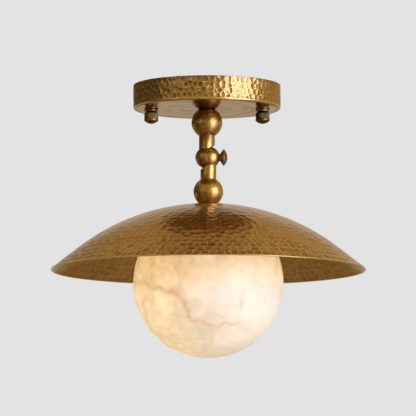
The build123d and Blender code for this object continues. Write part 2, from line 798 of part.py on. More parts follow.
# Emitter board, in the ring of the neck
with BuildPart() as emitter_board:
    with BuildSketch(Plane.XY.offset(bulb_mouth_z + bulb_ring_height)):
        with Locations((head_x, 0)):
            Circle(neck_mouth_r - bulb_neck_wall - thread_gap)
    extrude(amount=-emitter_board_height)
emitter_board.part.label = "emitter_board"
export_step(emitter_board.part, "parts/emitter_board.step")

# Bulb ball: frosted, open where the neck's ring meets it
bulb_ball_r = bulb_ball_d / 2
bulb_ball_inner_r = bulb_ball_r - bulb_ball_wall
mouth_height = sqrt(bulb_ball_r**2 - neck_mouth_r**2)
bulb_ball_z = bulb_mouth_z - mouth_height
ball_mouth_inner_r = sqrt(bulb_ball_inner_r**2 - mouth_height**2)

with BuildPart() as bulb_ball:
    with BuildSketch(front_plane(head_x, bulb_ball_z)):
        with BuildLine():
            Line((0, -bulb_ball_inner_r), (0, -bulb_ball_r))
            ThreePointArc((0, -bulb_ball_r), (bulb_ball_r, 0), (neck_mouth_r, mouth_height))
            Line((neck_mouth_r, mouth_height), (ball_mouth_inner_r, mouth_height))
            ThreePointArc((ball_mouth_inner_r, mouth_height), (bulb_ball_inner_r, 0), (0, -bulb_ball_inner_r))
        make_face()
    revolve(axis=upright_axis(head_x))
bulb_ball.part.label = "bulb_ball"
export_step(bulb_ball.part, "parts/bulb_ball.step")
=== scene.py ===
import json
from math import acos, asin, atan2, ceil, cos, pi, radians, sin, sqrt

import bmesh
import bpy
import numpy as np
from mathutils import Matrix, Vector


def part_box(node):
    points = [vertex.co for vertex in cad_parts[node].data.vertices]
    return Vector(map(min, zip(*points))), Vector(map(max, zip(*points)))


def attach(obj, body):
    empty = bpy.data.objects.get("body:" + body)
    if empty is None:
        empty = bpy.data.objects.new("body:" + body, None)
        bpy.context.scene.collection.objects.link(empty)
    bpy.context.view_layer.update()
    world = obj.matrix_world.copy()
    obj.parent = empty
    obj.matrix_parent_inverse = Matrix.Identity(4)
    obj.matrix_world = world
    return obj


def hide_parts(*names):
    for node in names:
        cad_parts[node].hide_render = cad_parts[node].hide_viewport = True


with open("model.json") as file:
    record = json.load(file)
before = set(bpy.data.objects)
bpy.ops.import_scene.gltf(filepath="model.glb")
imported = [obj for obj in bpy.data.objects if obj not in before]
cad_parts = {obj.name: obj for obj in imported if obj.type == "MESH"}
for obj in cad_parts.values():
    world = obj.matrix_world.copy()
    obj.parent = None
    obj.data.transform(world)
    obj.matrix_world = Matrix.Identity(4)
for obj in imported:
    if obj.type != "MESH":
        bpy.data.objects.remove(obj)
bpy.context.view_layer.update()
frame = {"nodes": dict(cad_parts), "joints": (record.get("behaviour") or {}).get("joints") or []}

# Studio. The lamp hangs before a pale backdrop and is seen from far away and a little from below. A tall
# soft light with a bright heart stands at the right and a weak one at the left. What the brass mirrors
# besides is a dim warm room with an unlit corner at the far left.
mm = 0.001
lens = 348.7
camera_distance = 3899.5 * mm
camera_rise = radians(6.404)
camera_aim = Vector((1.04, 0, -119.47)) * mm
backdrop_level = 0.768
diffused_level = 0.4
room_level = 0.42
corner_level = 0.1
behind_level = 0.56
overhead_level = 0.56
room_tint = (1, 0.69, 0.23, 1)
light_distance = 2.2
cool_white = (0.93, 1, 1.03)


class Value:
    """A value in a node tree. Arithmetic on it adds Math nodes, and node() adds any other kind."""

    def __init__(self, tree, socket=None):
        self.tree = tree
        self.socket = socket

    def node(self, kind, settings=(), inputs=(), output=0):
        made = self.tree.nodes.new("ShaderNode" + kind)
        for name, setting in dict(settings).items():
            setattr(made, name, setting)
        for name, value in dict(inputs).items():
            if isinstance(value, Value):
                self.tree.links.new(value.socket, made.inputs[name])
            else:
                made.inputs[name].default_value = value
        return Value(self.tree, made.outputs[output] if made.outputs else None)

    def math(self, operation, *values):
        return self.node("Math", {"operation": operation}, enumerate(values))

    def axis(self, number):
        return self.node("SeparateXYZ", {}, {0: self}, output=number)

    def __add__(self, other):
        return self.math("ADD", self, other)

    def __mul__(self, other):
        return self.math("MULTIPLY", self, other)

    def __sub__(self, other):
        return self.math("SUBTRACT", self, other)

    def __rsub__(self, other):
        return self.math("SUBTRACT", other, self)

    __radd__ = __add__
    __rmul__ = __mul__


def step(value, low, high):
    """0 where value is under low, 1 where it is over high, and smooth between them."""
    return value.node("MapRange", {"interpolation_type": "SMOOTHSTEP"}, {0: value, 1: low, 2: high})


def mix(factor, first, second):
    """The first colour where factor is 0, the second where it is 1."""
    return factor.node("Mix", {"data_type": "RGBA"}, {0: factor, 6: first, 7: second}, output=2)


def vector(operation, *values, output=0):
    return values[0].node("VectorMath", {"operation": operation}, enumerate(values), output=output)


def node_tree_of(owner):
    """The emptied node tree of a material or world, as a starting value."""
    owner.use_nodes = True
    owner.node_tree.nodes.clear()
    return Value(owner.node_tree)


camera = bpy.data.objects.new("camera", bpy.data.cameras.new("camera"))
camera.data.lens = lens
camera.location = camera_aim - Vector((0, cos(camera_rise), sin(camera_rise))) * camera_distance
camera.rotation_euler = (pi / 2 + camera_rise, 0, 0)
bpy.context.scene.collection.objects.link(camera)
bpy.context.scene.camera = camera
bpy.context.scene.view_settings.view_transform = "Standard"

world = bpy.data.worlds.new("studio")
bpy.context.scene.world = world
start = node_tree_of(world)
direction = start.node("TexCoord", output="Generated")
across, back, up = map(direction.axis, (0, 1, 2))
seen, mirrored = [start.node("LightPath", output=kind) for kind in ("Is Camera Ray", "Is Glossy Ray")]
azimuth = across.math("ARCTAN2", across, 0 - back)
unlit_corner = (1 - step(azimuth, radians(-90), radians(-50))) * (1 - step(up, 0.35, 0.7))
overhead = step(across, 0.0, 0.45) * step(up, 0.5, 0.9)
behind = step(back, 0.65, 0.95) * (1 - step(across.math("ABSOLUTE", across), 0.15, 0.4))
room = room_level - (room_level - corner_level) * unlit_corner
room = room + (overhead_level - room_level) * overhead
room = room + (behind_level - room) * behind
level = mirrored * room + (1 - mirrored) * diffused_level
level = seen * backdrop_level + (1 - seen) * level
tint = mix(mirrored * (1 - 0.7 * behind), (1, 1, 1, 1), room_tint)
background = start.node("Background", {}, {"Color": tint, "Strength": level})
start.node("OutputWorld", {}, {"Surface": background})


def soft_light(name, azimuth, width, height, radiance, shade=(1, 1, 1)):
    """An upright panel of light that faces the lamp, azimuth to the right of the camera."""
    panel = bpy.data.lights.new(name, "AREA")
    panel.shape = "RECTANGLE"
    panel.size = width
    panel.size_y = height
    panel.energy = radiance * width * height * pi
    panel.color = shade
    light = bpy.data.objects.new(name, panel)
    away = Vector((sin(azimuth), -cos(azimuth), 0))
    light.location = camera_aim + away * light_distance
    light.rotation_euler = away.to_track_quat("Z", "Y").to_euler()
    light.visible_camera = False
    bpy.context.scene.collection.objects.link(light)


soft_light("key_light", radians(52), width=1.7, height=2.4, radiance=1.0, shade=cool_white)
soft_light("key_heart", radians(52), width=0.9, height=1.9, radiance=9.6, shade=cool_white)
soft_light("fill_light", radians(-50), width=0.6, height=1.6, radiance=0.16)


def mesh_object(name, points, faces, smooth=True):
    """A new mesh object with its points in the frame's own place."""
    mesh = bpy.data.meshes.new(name)
    mesh.from_pydata(points, [], faces)
    mesh.polygons.foreach_set("use_smooth", [smooth] * len(mesh.polygons))
    made = bpy.data.objects.new(name, mesh)
    bpy.context.scene.collection.objects.link(made)
    return made


floor_half = 30.0
floor_level = -2.4
floor_colour = (0.78, 0.78, 0.78, 1)
near_tint, far_tint, unlit_tint = [[share * part for part in room_tint] for share in (0.62, 1.1, 0.12)]
sunny_tint = (1.27, 1.12, 0.93, 1)
corners = [(x * floor_half, y * floor_half, floor_level) for x, y in ((-1, -1), (1, -1), (1, 1), (-1, 1))]
floor = mesh_object("floor", corners, [(0, 1, 2, 3)], smooth=False)
floor.data.materials.append(bpy.data.materials.new("floor"))
start = node_tree_of(floor.data.materials[0])
mirrored = start.node("LightPath", output="Is Glossy Ray")
place = start.node("NewGeometry", output="Position")
across, back = map(place.axis, (0, 1))
# Painted light seen only in the brass: dim near the lamp, painted shade far left, painted sun far behind.
unlit = (1 - step(across, -4, -1.5)) * (1 - step(back, 0.5, 3))
reflected = mix(step(vector("LENGTH", place, output=1), 3, 20), near_tint, far_tint)
reflected = mix(unlit, reflected, unlit_tint)
reflected = mix(step(back, 6, 18), reflected, sunny_tint)
pale = start.node("BsdfDiffuse", {}, {"Color": mix(mirrored, floor_colour, reflected)})
clear = start.node("BsdfTransparent")
underneath = start.node("NewGeometry", output="Backfacing")
one_sided = start.node("MixShader", {}, {0: underneath, 1: pale, 2: clear})
start.node("OutputMaterial", {}, {"Surface": one_sided})


# Ceiling bracket: a channel-shaped strap of bright zinc-plated steel with two screwed studs, their lock
# nuts and a green earth screw. The pan hides all of it from below.
def colour(red, green, blue):
    """A display colour, 0 to 255, as the linear colour that a shader takes."""
    shares = [c / 255 for c in (red, green, blue)]
    return (*[c / 12.92 if c <= 0.04045 else ((c + 0.055) / 1.055) ** 2.4 for c in shares], 1)


def noise(place, size, detail=2.0):
    """Random patches about as wide as size, from 0 to 1 and mostly near the middle."""
    return place.node("TexNoise", {}, {"Vector": place, "Scale": 1 / size, "Detail": detail})


def bump(height, depth):
    return height.node("Bump", {}, {"Height": height, "Distance": depth, "Strength": 1.0})


def new_finish(name):
    """A new material, its empty tree, and the place of each point in the piece's own metres."""
    material = bpy.data.materials.new(name)
    start = node_tree_of(material)
    return material, start, start.node("TexCoord", output="Object")


def surface(start, inputs):
    start.node("OutputMaterial", {}, {"Surface": start.node("BsdfPrincipled", {}, inputs)})


def dress(piece, material):
    """Puts the finish on a piece."""
    if not piece.material_slots:
        piece.data.materials.append(material)
    for place in piece.material_slots:
        place.material = material


def plated_metal(name, bright, dull, roughness):
    """Sheet or turned metal under a thin plating that has dulled in patches and picked up fine scratches."""
    material, start, place = new_finish(name)
    cloud = step(noise(place, 6 * mm, 4.0), 0.35, 0.7)
    grain = noise(place, 0.35 * mm, 2.0)
    surface(start, {
        "Base Color": mix(cloud, bright, dull),
        "Metallic": 1.0,
        "Roughness": roughness + 0.14 * cloud + 0.1 * (grain - 0.5),
        "Normal": bump(grain, 0.02 * mm),
    })
    return material


def dress_nodes(material, *nodes):
    """Puts the finish on CAD nodes that show as they are."""
    for node in nodes:
        dress(frame["nodes"][node], material)


zinc = plated_metal("zinc_plate", colour(205, 207, 210), colour(160, 163, 168), 0.3)
green_plate = plated_metal("green_plate", colour(70, 150, 85), colour(40, 105, 55), 0.35)
dress_nodes(zinc, "crossbar", "stud_lock_nuts")
dress_nodes(green_plate, "earth_screw")


# Studs: two zinc-plated steel rods with a fine thread over their whole length. They are screwed down through
# the strap and locked there, and their lower ends carry the pan on the finger nuts.
def way_along(outline):
    """How far along an outline each of its points lies."""
    return np.concatenate(([0], np.cumsum(np.hypot(*np.diff(outline, axis=0).T))))


def outward(outline, closed):
    """The direction out of the metal at each point of an outline that runs anticlockwise round it."""
    before = np.roll(outline, 1, 0)
    after = np.roll(outline, -1, 0)
    if not closed:
        before[0] = outline[0]
        after[-1] = outline[-1]
    run = after - before
    return np.column_stack((run[:, 1], -run[:, 0])) / np.hypot(*run.T)[:, None]


def band(first, first_count, second, second_count):
    """Faces between two rings, where one count is a multiple of the other."""
    sectors = min(first_count, second_count)
    if sectors == 1:
        sectors = max(first_count, second_count)

    def sector(ring, count, j):
        """A ring's points along one sector, or the one point of a ring that lies on the axis."""
        if count == 1:
            return [ring]
        return [ring + (j * count // sectors + i) % count for i in range(count // sectors + 1)]

    for j in range(sectors):
        yield sector(first, first_count, j) + sector(second, second_count, j)[::-1]


def turned(name, outline, counts, centre, shape=None, closed=False, lying=False):
    """A piece turned from an outline of (radius, height) points that runs anticlockwise round its metal.

    counts is the number of points in each ring, centre is where the outline's zero lies, and a lying piece
    turns about X. shape takes each point's way along the outline, radius, angle and height, and gives its
    depth under the turned surface and the values to keep there."""
    outline = np.array(outline, float)
    counts = np.where(outline[:, 0] < 0.001 * mm, 1, counts)
    starts = np.concatenate(([0], np.cumsum(counts)))
    ring = np.repeat(np.arange(len(outline)), counts)
    angle = 2 * pi * (np.arange(len(ring)) - starts[ring]) / counts[ring]
    radius, height = outline[ring].T
    depth, marks = shape(way_along(outline)[ring], radius, angle, height) if shape else (0, {})
    normal = outward(outline, closed)[ring]
    radius = radius - depth * normal[:, 0]
    height = height - depth * normal[:, 1]
    points = np.column_stack((radius * np.cos(angle), radius * np.sin(angle), height))
    if lying:
        points = points[:, [2, 0, 1]]
    rings = list(zip(starts.tolist(), counts.tolist()))
    pairs = [(rings[k], rings[(k + 1) % len(rings)]) for k in range(len(rings) - (not closed))]
    faces = [face for lower, upper in pairs for face in band(*lower, *upper)]
    piece = mesh_object(name, (points + np.array(centre)).tolist(), faces)
    for key, values in marks.items():
        kind, field = ("FLOAT", "value") if values.ndim == 1 else ("FLOAT_VECTOR", "vector")
        piece.data.attributes.new(key, kind, "POINT").data.foreach_set(field, values.ravel())
    return piece


def threaded(pitch, depth, low, high):
    """A shape for turned(): one right-hand thread between two heights, which fades out at both ends."""
    def shape(along, radius, angle, height):
        turn = (height / pitch - angle / (2 * pi)) % 1
        fade = np.clip(np.minimum(height - low, high - height) / pitch, 0, 1)
        return depth * fade * np.abs(2 * turn - 1), {}
    return shape


rings_per_thread = 6
rod_points = 32


def threaded_rod(name, node, pitch, depth, centre_x, bore=0.0):
    """A screwed rod or pipe that fills a CAD node's place."""
    low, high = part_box(node)
    radius = (high.y - low.y) / 2
    chamfer = 0.4 * mm
    heights = np.arange(low.z + chamfer, high.z - chamfer, pitch / rings_per_thread)
    outline = [(bore, low.z), (radius - chamfer, low.z)]
    outline += [(radius, z) for z in heights]
    outline += [(radius, high.z - chamfer), (radius - chamfer, high.z), (bore, high.z)]
    cut = threaded(pitch, depth, low.z + chamfer, high.z - chamfer)
    return turned(name, outline, rod_points, (centre_x, 0, 0), cut, closed=bore > 0)


def joined(name, pieces):
    """Several like pieces made into one."""
    with bpy.context.temp_override(active_object=pieces[0], selected_editable_objects=pieces):
        bpy.ops.object.join()
    pieces[0].name = name
    return pieces[0]


nut_low, nut_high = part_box("finger_nut_right")
stud_x = (nut_low.x + nut_high.x) / 2
stud_pitch = 0.7 * mm
studs = [threaded_rod("stud", "mounting_studs", stud_pitch, stud_pitch / 2, x) for x in (-stud_x, stud_x)]
studs = joined("threaded_studs", studs)
dress(studs, zinc)
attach(studs, "ceiling_mount")
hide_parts("mounting_studs")


# Canopy: a spun brass pan. Its wall is hammered all over, its edge is rubbed bright, and its underside is
# left as it came from the lathe, with fine rings. Lacquered over a brown patina.
def corner(before, at, after, radius, parts=4):
    """Points that round one corner of an outline."""
    before, at, after = (np.array(p, float) for p in (before, at, after))
    first = (before - at) / np.linalg.norm(before - at)
    second = (after - at) / np.linalg.norm(after - at)
    half = acos(np.clip(first @ second, -1, 1)) / 2
    reach = radius / np.tan(half)
    middle = at + (first + second) / np.linalg.norm(first + second) * radius / sin(half)
    ends = at + first * reach - middle, at + second * reach - middle
    begin = atan2(ends[0][1], ends[0][0])
    sweep = (atan2(ends[1][1], ends[1][0]) - begin + pi) % (2 * pi) - pi
    turns = begin + sweep * np.arange(parts + 1) / parts
    return [tuple(middle + radius * np.array((cos(t), sin(t)))) for t in turns]


def rounded(points, radii):
    """A closed outline with its corners rounded, each by its own radius."""
    outline = []
    for k, (at, radius) in enumerate(zip(points, radii)):
        if radius == 0:
            outline.append(at)
        else:
            outline += corner(points[k - 1], at, points[(k + 1) % len(points)], radius)
    return outline


def divided(outline, gap, closed=True):
    """An outline with points added so that none is further than gap from the next."""
    ends = outline[1:] + outline[:1] if closed else outline[1:]
    made = []
    for (r0, h0), (r1, h1) in zip(outline, ends):
        parts = max(1, ceil(sqrt((r1 - r0) ** 2 + (h1 - h0) ** 2) / gap - 1e-6))
        made += [(r0 + (r1 - r0) * i / parts, h0 + (h1 - h0) * i / parts) for i in range(parts)]
    return made if closed else made + outline[-1:]


def points_round(outline, gap, fewest=12):
    """How many points each ring needs to be no further than gap apart, doubled step by step."""
    circumference = 2 * pi * np.array(outline)[:, 0]
    doublings = np.ceil(np.log2(np.maximum(circumference / (gap * fewest), 1)))
    return (fewest * 2**doublings).astype(int)


def hammered(seed, pitch, cap, start, end, jitter):
    """A shape for turned(): rows of hammer blows between two places along the outline.

    Each blow leaves a hollow of radius cap, and the hollows meet in ridges. Kept are the way from the
    nearest ridge, as a share of the pitch, and how dark the hollow there is painted: darker in some hollows
    than in others at random, as patina, and darker on the side further along the outline, the upper side on
    outer faces, as painted shade."""
    def shape(along, radius, angle, height):
        random = np.random.default_rng(seed)
        order = np.argsort(along)
        reach = 1.6 * pitch
        usual_depth = (0.62 * pitch) ** 2 / (2 * cap)
        deepest = np.full(len(along), -1.0)
        second = np.full(len(along), -1.0)
        patina = np.zeros(len(along))
        rows = round((end - start) / pitch)
        for row in range(rows):
            middle = start + (row + 0.5) * (end - start) / rows
            near = np.flatnonzero((np.abs(along - middle) < reach) & (along >= start) & (along <= end))
            number = max(4, round(2 * pi * np.interp(middle, along[order], radius[order]) / pitch))
            stray = random.uniform(-jitter, jitter, (2, number))
            turn = (np.arange(number) + random.uniform() + stray[0]) * 2 * pi / number
            place = middle + stray[1] * pitch
            full = usual_depth * random.uniform(0.85, 1.2, number)
            across = ((angle[near, None] - turn + pi) % (2 * pi) - pi) * radius[near, None]
            depths = full - (across**2 + (along[near, None] - place) ** 2) / (2 * cap)
            own = depths.argmax(axis=1)
            found = depths.max(axis=1) > deepest[near]
            # Painted shade on each hollow's side further along the outline, and patina at random.
            patina_and_upper_shade = (along[near] - place[own]) / pitch + random.uniform(-0.5, 0.5, number)[own]
            patina[near[found]] = patina_and_upper_shade[found]
            best = np.sort(np.column_stack((deepest[near], second[near], np.partition(depths, -2)[:, -2:])))
            deepest[near] = best[:, -1]
            second[near] = best[:, -2]
        from_ridge = (deepest - second) * cap / pitch**2
        return np.maximum(deepest, 0), from_ridge, patina
    return shape


canopy_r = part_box("canopy")[1].x
canopy_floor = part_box("canopy")[0].z
canopy_wall = 1.4 * mm
canopy_edge_r = 1.8 * mm
canopy_rim_r = 0.3 * mm
canopy_bend_r = 1.0 * mm
pipe_hole_r = 5.15 * mm
canopy_contact_r = 7.6 * mm
inside_r = canopy_r - canopy_wall
inside_floor = canopy_floor + canopy_wall
canopy_points = [(pipe_hole_r, canopy_floor), (canopy_r, canopy_floor), (canopy_r, 0)]
canopy_points += [(inside_r, 0), (inside_r, inside_floor), (pipe_hole_r, inside_floor)]
canopy_corners = rounded(canopy_points, (0, canopy_edge_r, canopy_rim_r, canopy_rim_r, canopy_bend_r, 0))
corner_points = 5
edge_at, rim_at = 1, 2 * corner_points
underside = divided(canopy_corners[:edge_at + 1], gap=1.3 * mm, closed=False)[:-1]
hammered_wall = divided(canopy_corners[edge_at:rim_at + 1], gap=0.42 * mm, closed=False)
canopy_inside = divided(canopy_corners[rim_at:] + canopy_corners[:1], gap=4 * mm, closed=False)[1:-1]
canopy_outline = underside + hammered_wall + canopy_inside
plain_points, hammered_points = 192, 1536
canopy_counts = [plain_points] * len(underside) + [hammered_points] * len(hammered_wall)
canopy_counts += [plain_points] * len(canopy_inside)
wall_start = canopy_r - pipe_hole_r - canopy_edge_r + canopy_edge_r * pi / 2
wall_end = wall_start - canopy_floor - canopy_edge_r - canopy_rim_r
blows_start = wall_start - 0.6 * mm
painted_edge_shadow_at = wall_start - 2.4 * mm
canopy_blows = hammered(seed=5, pitch=5.3 * mm, cap=12 * mm, start=blows_start, end=wall_end, jitter=0.36)


def painted_seam_shade(radius, height, *seams, reach=2.2 * mm):
    """How dark the painted shade is by seams, each the (radius, height) where another piece meets this."""
    apart = np.min([np.hypot(radius - r, height - h) for r, h in seams], axis=0)
    return 0.9 * np.clip(1 - apart / reach, 0, 1) ** 1.5


def stripe(along, at, width, strength=1.0):
    """A stripe round the piece, strongest at one place along its outline and gone about a width away."""
    return np.clip(strength - np.abs(along - at) / width, 0, 1)


def streak_way(radius, angle):
    """Places for a noise that changes slowly round the axis, as the lathe runs, and quickly across it."""
    ring_size = 5 * mm
    return np.column_stack((1.6 * np.cos(angle), 1.6 * np.sin(angle), radius / ring_size))


def canopy_shape(along, radius, angle, height):
    depth, from_ridge, patina = canopy_blows(along, radius, angle, height)
    low_edge = stripe(along, blows_start, width=1.5 * mm, strength=1.3)
    painted_edge_shadow = stripe(along, painted_edge_shadow_at, width=0.7 * mm, strength=1.4)
    high_edge = stripe(along, wall_end + canopy_rim_r, width=0.9 * mm)
    on_wall = (along > blows_start) & (along < wall_end)
    return depth * (1 - np.maximum(low_edge, high_edge)), {
        "from_ridge": np.where(on_wall, from_ridge, 0.5),
        "patina": np.where(on_wall, patina, 0),
        "polished": low_edge,
        "lathe_finish": np.where(along < wall_start - canopy_edge_r * 1.5, 1.0, 0.0),
        "streak_way": streak_way(radius, angle),
        # Painted shade round the upper ball's seat, and a thin painted shadow line where the underside turns
        # into the rounded edge.
        "painted_seam_shade": painted_seam_shade(radius, height, (canopy_contact_r, canopy_floor)) + 0.85 * painted_edge_shadow,
        "contrast": np.full(len(radius), 0.85),
        "inside": np.zeros(len(radius)),
    }


canopy = turned("canopy_pan", canopy_outline, canopy_counts, (0, 0, 0), canopy_shape, closed=True)


def kept(start, name, output="Fac"):
    """A value that the piece keeps at its points."""
    return start.node("Attribute", {"attribute_name": name}, output=output)


def lacquered(start, inputs):
    """Brass under thin clear lacquer. Seen at a slant it stays warm."""
    surface(start, {
        "Metallic": 1.0,
        "Specular Tint": (0.92, 0.76, 0.52, 1),
        "Coat Weight": 1.0,
        "Coat Roughness": 0.12,
        "Coat IOR": 2.3,
        **inputs,
    })


def hammered_brass(name, dark, light, ridge, ridge_width):
    """Patinated brass: dark hollows, ridges rubbed bright and painted as highlights, a polished edge."""
    material, start, place = new_finish(name)
    speck = noise(place, 1.1 * mm, 3.0)
    cloud = step(noise(place, 20 * mm, 3.0), 0.35, 0.65)
    contrast = kept(start, "contrast") * (0.6 + 0.6 * cloud)
    from_ridge = kept(start, "from_ridge") + 0.02 * (noise(place, 2.5 * mm, 3.0) - 0.5)
    # The kept patina is also darker on the hollows' upper sides: painted shade.
    hollow = step(from_ridge, 0.0, ridge_width + 0.05) * (0.75 + 0.2 * cloud + 0.55 * kept(start, "patina"))
    patina = mix(0.5 + (hollow - 0.5) * contrast - 0.3 * step(speck, 0.5, 0.75), light, dark)
    # Painted highlight along the ridges, on top of their rubbed wear.
    rubbed = (1 - step(from_ridge, 0.0, ridge_width)) * (0.3 + speck) * contrast
    lathe = kept(start, "lathe_finish")
    streak = step(noise(kept(start, "streak_way", "Vector"), 1.0, 4.0), 0.3, 0.7)
    worn = mix(lathe, mix(rubbed, patina, ridge), mix(streak, colour(136, 102, 60), colour(196, 160, 106)))
    # Painted shade: the inside of the shade is darker.
    worn = mix(kept(start, "inside") * 0.35, worn, colour(142, 84, 46))
    # Painted shade: dark brown beside seams, where another piece meets this one.
    worn = mix(kept(start, "painted_seam_shade"), worn, colour(52, 34, 16))
    edge = step(kept(start, "polished"), 0.25, 0.75)
    dents = noise(place, 0.9 * mm, 3.0) * (1 - lathe) + streak * 0.5 * lathe
    lacquered(start, {
        "Base Color": mix(edge, worn, colour(252, 216, 148)),
        "Roughness": 0.3 + 0.12 * (speck - 0.5) + 0.3 * rubbed * (1 - edge) - 0.08 * edge - 0.14 * lathe,
        "Coat Weight": 1 - lathe * (0.75 - 0.6 * streak),
        "Coat Roughness": 0.18,
        "Normal": bump(dents, 0.04 * mm),
    })
    return material


canopy_brass = hammered_brass(
    "canopy_brass", colour(134, 94, 38), colour(218, 172, 96), colour(244, 210, 144), 0.07
)
dress(canopy, canopy_brass)
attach(canopy, "ceiling_mount")
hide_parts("canopy")


# Finger nuts: knurled brass nuts with a domed end, on the studs, over small turned washers that keep them
# off the pan. Darker than the rest, with the patina worn off the knurl's crests.
nut_r = (nut_high.y - nut_low.y) / 2
nut_end = nut_low.z - nut_high.z
nut_neck_r = 5.25 * mm
nut_neck_chamfer = 0.3 * mm
nut_bore_r = 2.05 * mm
nut_bore_end = -8.2 * mm
knurl_top = -1.3 * mm
knurl_bottom = knurl_top - 6.5 * mm
knurls = 36
knurl_depth = 0.4 * mm
grip_r = nut_r - 0.15 * mm
grip_low = knurl_bottom + 0.8 * mm
grip_high = knurl_top - 0.4 * mm
grip_rings = 7
groove_r = nut_r - 0.5 * mm
groove_low = knurl_bottom + 0.4 * mm
groove_high = knurl_bottom + 0.6 * mm
bead_top = knurl_bottom + 0.35 * mm
bead_bottom = knurl_bottom - 1.4 * mm
dome_edge_r = nut_r - 0.3 * mm
shoulder_r = nut_r - 0.7 * mm
neck_foot = knurl_top + 0.05 * mm
margin = 0.1 * mm


def dome(crown, rise, reach, parts):
    """Points of a dome's arc, from its crown on the axis to its edge, rise above that and reach out."""
    radius = (reach**2 + rise**2) / (2 * rise)
    turns = [asin(reach / radius) * i / parts for i in range(parts + 1)]
    return [(radius * sin(t), crown + radius * (1 - cos(t))) for t in turns]


nut_outline = dome(nut_end, bead_bottom - nut_end, dome_edge_r, parts=8)[:-1]
bead_slope = (nut_r - 2 * mm, bead_bottom - 0.9 * mm)
nut_outline += corner(bead_slope, (nut_r, bead_bottom), (nut_r, bead_top), radius=0.6 * mm)
nut_outline += corner((nut_r, bead_bottom), (nut_r, bead_top), (groove_r, bead_top), radius=0.35 * mm)
nut_outline += [(groove_r, groove_low), (groove_r, groove_high)]
nut_outline += [(grip_r, z) for z in np.linspace(grip_low, grip_high, grip_rings)]
nut_outline += [(shoulder_r, knurl_top), (nut_neck_r, neck_foot)]
nut_outline += [(nut_neck_r, -nut_neck_chamfer), (nut_neck_r - nut_neck_chamfer, 0), (nut_bore_r, 0)]
nut_outline += [(nut_bore_r, nut_bore_end), (0, nut_bore_end)]


def rubbed_at(height, place, width):
    """How much a raised edge at one height is rubbed: 1 there, and fading over the width to each side."""
    return np.exp(-((height - place) / width) ** 2)


def knurled(along, radius, angle, height):
    on_grip = (height > grip_low - margin) & (height < grip_high + margin) & (radius > nut_neck_r)
    tooth = np.abs(2 * (angle * knurls / (2 * pi) % 1) - 1)
    on_rim = rubbed_at(height, bead_bottom, width=0.7 * mm) + rubbed_at(height, knurl_bottom, width=0.5 * mm)
    return np.where(on_grip, knurl_depth * tooth, 0), {
        "crest": np.where(on_grip, 1 - tooth, np.clip(on_rim, 0, 1)),
        "grip": np.where(on_grip, 1.0, 0.0),
    }


def dark_brass(name, painted_shade=0.0):
    """Turned brass under a dark brown patina, worn through to gold on its crests and edges.

    Its second argument, up to 1, darkens it as a whole: painted shade, for a piece in brighter light."""
    material, start, place = new_finish(name)
    cloud = step(noise(place, 2.6 * mm, 4.0), 0.38, 0.66)
    crest = kept(start, "crest")
    grip = kept(start, "grip")
    patina = mix(cloud, colour(72, 48, 22), colour(112, 78, 36))
    patina = mix(grip * 0.85, patina, colour(90, 74, 58))
    worn = mix(step(crest + 0.6 * (cloud - 0.5), 0.45, 1.0) * 0.7, patina, colour(176, 130, 62))
    painted_darker_colour = vector("MULTIPLY", worn, (1 - painted_shade,) * 3)
    lacquered(start, {
        "Base Color": mix(0.8 + 0.2 * cloud, worn, painted_darker_colour),
        "Roughness": 0.42 + 0.16 * cloud,
        "Coat Roughness": 0.34,
        "Coat Weight": 0.7 - 0.35 * painted_shade - 0.2 * grip,
        "Normal": bump(noise(place, 0.8 * mm, 3.0), 0.03 * mm),
    })
    return material


nut_brass = dark_brass("nut_brass")
nut_points = knurls * 6
# The right nut stands in the key light and is painted darker.
for side, x, painted_shade in (("left", -stud_x, 0.0), ("right", stud_x, 0.6)):
    nut = turned(f"knurled_nut_{side}", nut_outline, nut_points, (x, 0, nut_high.z), knurled)
    dress(nut, dark_brass(f"nut_brass_{side}", painted_shade))
    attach(nut, f"{side}_nut")
    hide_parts(f"finger_nut_{side}")

washer_low, washer_high = [end.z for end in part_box("nut_washers")]
washer_r = nut_r - 0.15 * mm
washer_bore_r = 2.3 * mm
washer_edge_r = 0.7 * mm
washer_worn = 0.5 * mm
washer_count = 72
washer_outline = rounded([
    (washer_bore_r, washer_low), (washer_r, washer_low), (washer_r, washer_high), (washer_bore_r, washer_high)
], (0, washer_edge_r, washer_edge_r, 0))


def washer_wear(along, radius, angle, height):
    crest = 0.8 * np.clip(1 - (washer_r - radius) / washer_worn, 0, 1)
    return 0, {"crest": crest, "grip": np.zeros(len(radius))}


washers = [
    turned("washer", washer_outline, washer_count, (x, 0, 0), washer_wear, closed=True)
    for x in (-stud_x, stud_x)
]
washers = joined("turned_washers", washers)
dress(washers, nut_brass)
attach(washers, "ceiling_mount")
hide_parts("nut_washers")


# Lamp pipes: short threaded brass pipes, one down through the pan and the upper ball, one through the lower
# ball and the shade, with plated lock washers and hexagon nuts.
raw_brass = plated_metal("raw_brass", colour(205, 172, 108), colour(160, 124, 66), 0.3)
globe_low, globe_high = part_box("globe")
lamp_x = (globe_low.x + globe_high.x) / 2
pipe_bore_r = 3.4 * mm
pipe_pitch = 0.94 * mm
pipe_thread_depth = 0.4 * mm
for node, x, body in (("canopy_pipe", 0, "ceiling_mount"), ("shade_pipe", lamp_x, "lamp_head")):
    pipe = threaded_rod(f"threaded_{node}", node, pipe_pitch, pipe_thread_depth, x, pipe_bore_r)
    dress(pipe, raw_brass)
    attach(pipe, body)
    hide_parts(node)
dress_nodes(zinc, "canopy_lock_washer", "canopy_pipe_nut", "shade_lock_washer", "shade_pipe_nut")


